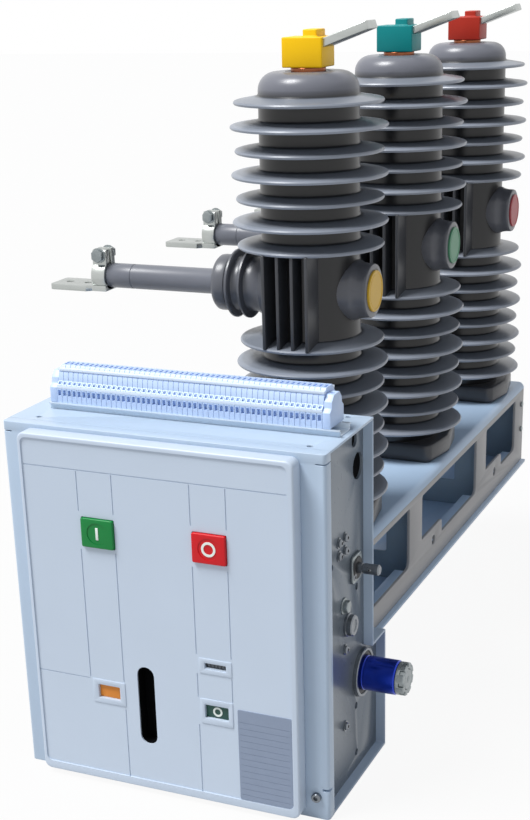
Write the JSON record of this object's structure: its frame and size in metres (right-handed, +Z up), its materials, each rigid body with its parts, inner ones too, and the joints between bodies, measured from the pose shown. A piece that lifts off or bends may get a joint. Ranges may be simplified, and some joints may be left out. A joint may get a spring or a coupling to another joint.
{
  "type": "three-pole fixed vacuum circuit breaker",
  "caption": "Fixed vacuum circuit breaker: mechanism case with front panel, base beam and moulded poles with sheds, contact arms and top bars.",
  "frame": {"origin": "on the underside of the base beam, straight below the middle pole axis", "axes": "+X to the side of the shafts and top bars, -Y to the front panel, +Z up along the poles"},
  "size_m": [0.484, 0.9425, 0.8187],
  "materials": {
    "epoxy_dark": "moulded epoxy resin, satin",
    "epoxy_grey": "moulded insulating sleeve, satin",
    "tin_plate": "tin-plated copper, soft bright",
    "copper": "bare copper",
    "plastic_yellow": "moulded, satin",
    "plastic_green": "moulded, satin",
    "plastic_red": "moulded, satin",
    "label_yellow": "round label",
    "label_green": "round label",
    "label_red": "round label",
    "paint_grey_blue": "powder coat, semi-gloss",
    "panel_plastic": "moulded, fine grain",
    "button_green": "moulded",
    "button_red": "moulded",
    "flag_orange": "printed flag",
    "counter_white": "number wheels",
    "flag_green": "printed flag",
    "plate_blue_grey": "plain plate",
    "aluminium": "rolled rail",
    "terminal_plastic": "moulded polyamide",
    "steel_dark": "ground steel",
    "steel_bright": "turned steel",
    "shaft_blue": "blue metallic coat, glossy",
    "zinc_plate": "zinc plated"
  },
  "bodies": {
    "frame": {"insulator_1": "epoxy_dark", "insulator_2": "epoxy_dark", "insulator_3": "epoxy_dark", "arm_1": "epoxy_grey", "arm_2": "epoxy_grey", "arm_3": "epoxy_grey", "clamp_1": "tin_plate", "clamp_2": "tin_plate", "clamp_3": "tin_plate", "stub_1": "copper", "stub_2": "copper", "stub_3": "copper", "phase_block_1": "plastic_yellow", "phase_block_2": "plastic_green", "phase_block_3": "plastic_red", "top_bar_1": "tin_plate", "top_bar_2": "tin_plate", "top_bar_3": "tin_plate", "phase_disc_1": "label_yellow", "phase_disc_2": "label_green", "phase_disc_3": "label_red", "beam_top": "paint_grey_blue", "beam_side_right": "paint_grey_blue", "beam_side_left": "paint_grey_blue", "beam_bottom": "paint_grey_blue", "cross_plates": "paint_grey_blue", "case_body": "paint_grey_blue", "front_plate": "paint_grey_blue", "top_sheet": "paint_grey_blue", "back_sheet": "paint_grey_blue", "front_panel": "panel_plastic", "charge_flag": "flag_orange", "counter": "counter_white", "position_flag": "flag_green", "rating_plate": "plate_blue_grey", "din_rail": "aluminium", "terminal_strip": "terminal_plastic", "end_stops": "terminal_plastic", "charging_bush": "steel_dark", "shaft_bearing": "steel_dark"},
    "close_button": {"close_button": "button_green"},
    "trip_button": {"trip_button": "button_red"},
    "charging_shaft": {"charging_shaft": "steel_bright"},
    "drive_shaft": {"drive_shaft": "shaft_blue", "shaft_nut": "zinc_plate"}
  },
  "joints": [
    {"name": "close_push", "type": "slide", "parent": "frame", "child": "close_button", "axis": [0, 1, 0], "range_m": [0, 0.005], "stiffness_N_per_m": 600},
    {"name": "trip_push", "type": "slide", "parent": "frame", "child": "trip_button", "axis": [0, 1, 0], "range_m": [0, 0.005], "stiffness_N_per_m": 600},
    {"name": "charging_turn", "type": "hinge", "parent": "frame", "child": "charging_shaft", "pos_m": [0.096, -0.422, 0.128], "axis": [1, 0, 0], "continuous": true},
    {"name": "drive_turn", "type": "hinge", "parent": "frame", "child": "drive_shaft", "pos_m": [0.096, -0.403, -0.008], "axis": [1, 0, 0], "range_deg": [0, 60]}
  ]
}
